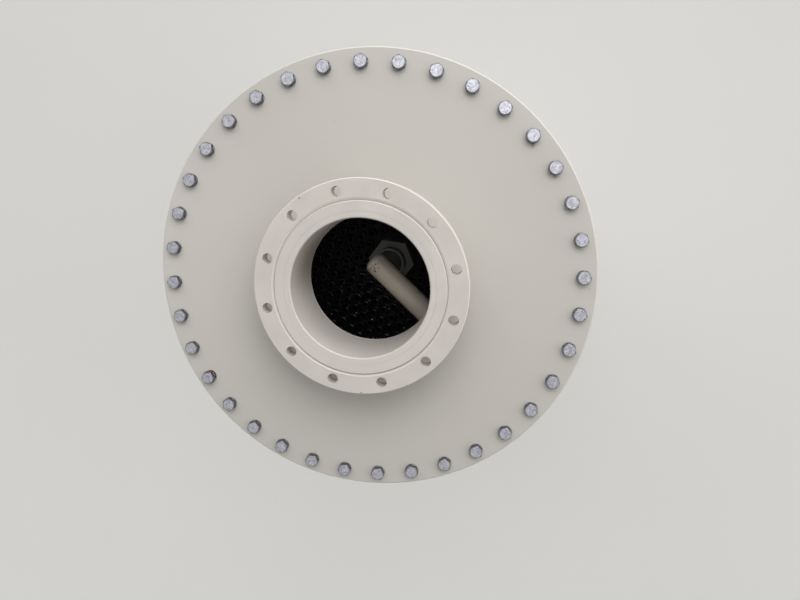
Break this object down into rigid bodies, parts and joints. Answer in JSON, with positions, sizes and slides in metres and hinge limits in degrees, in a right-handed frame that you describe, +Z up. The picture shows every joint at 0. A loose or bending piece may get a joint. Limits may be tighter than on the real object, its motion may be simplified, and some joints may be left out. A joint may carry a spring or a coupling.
{
  "type": "falling film absorber",
  "caption": "Upright falling film absorber: flat cover with a flanged gas inlet, upper head over a tube sheet, long shell on a square plate, dished lower head.",
  "frame": {"origin": "on the vessel's axis, in the underside of the square support plate", "axes": "+Z up along the vessel's axis, +X along the liquid inlet pipe towards its flange"},
  "size_m": [1.13, 0.99, 4.3293],
  "materials": {
    "cream_polypropylene": "satin cream polypropylene",
    "pipe_polypropylene": "satin cream polypropylene pipe",
    "graphite_polypropylene": "black graphite filled polypropylene, slightly glossy",
    "boss_polypropylene": "light grey machined polypropylene",
    "gasket_rubber": "matt black rubber"
  },
  "bodies": {
    "root": {"gas_inlet_flange": "cream_polypropylene", "gas_inlet_neck": "cream_polypropylene", "top_cover": "cream_polypropylene", "cover_gasket": "gasket_rubber", "upper_head_top_flange": "cream_polypropylene", "upper_head_barrel": "cream_polypropylene", "liquid_inlet_pipe": "pipe_polypropylene", "liquid_inlet_flange": "pipe_polypropylene", "upper_head_bottom_flange": "cream_polypropylene", "upper_tube_sheet_gasket": "gasket_rubber", "upper_tube_sheet": "graphite_polypropylene", "film_heads": "graphite_polypropylene", "centre_boss": "boss_polypropylene", "splash_cup": "boss_polypropylene", "stay_bosses": "boss_polypropylene", "shell_top_flange": "cream_polypropylene", "shell": "cream_polypropylene", "cooling_water_outlet_neck": "cream_polypropylene", "cooling_water_outlet_flange": "cream_polypropylene", "cooling_water_inlet_neck": "cream_polypropylene", "cooling_water_inlet_flange": "cream_polypropylene", "support_plate": "cream_polypropylene", "support_gussets": "cream_polypropylene", "shell_bottom_flange": "cream_polypropylene", "lower_tube_sheet": "graphite_polypropylene", "lower_tube_sheet_gasket": "gasket_rubber", "lower_head_top_flange": "cream_polypropylene", "lower_head_barrel": "cream_polypropylene", "tail_gas_outlet_neck": "cream_polypropylene", "tail_gas_outlet_flange": "cream_polypropylene", "lower_dished_end": "cream_polypropylene", "liquid_outlet_neck": "cream_polypropylene", "liquid_outlet_flange": "cream_polypropylene"}
  },
  "joints": []
}
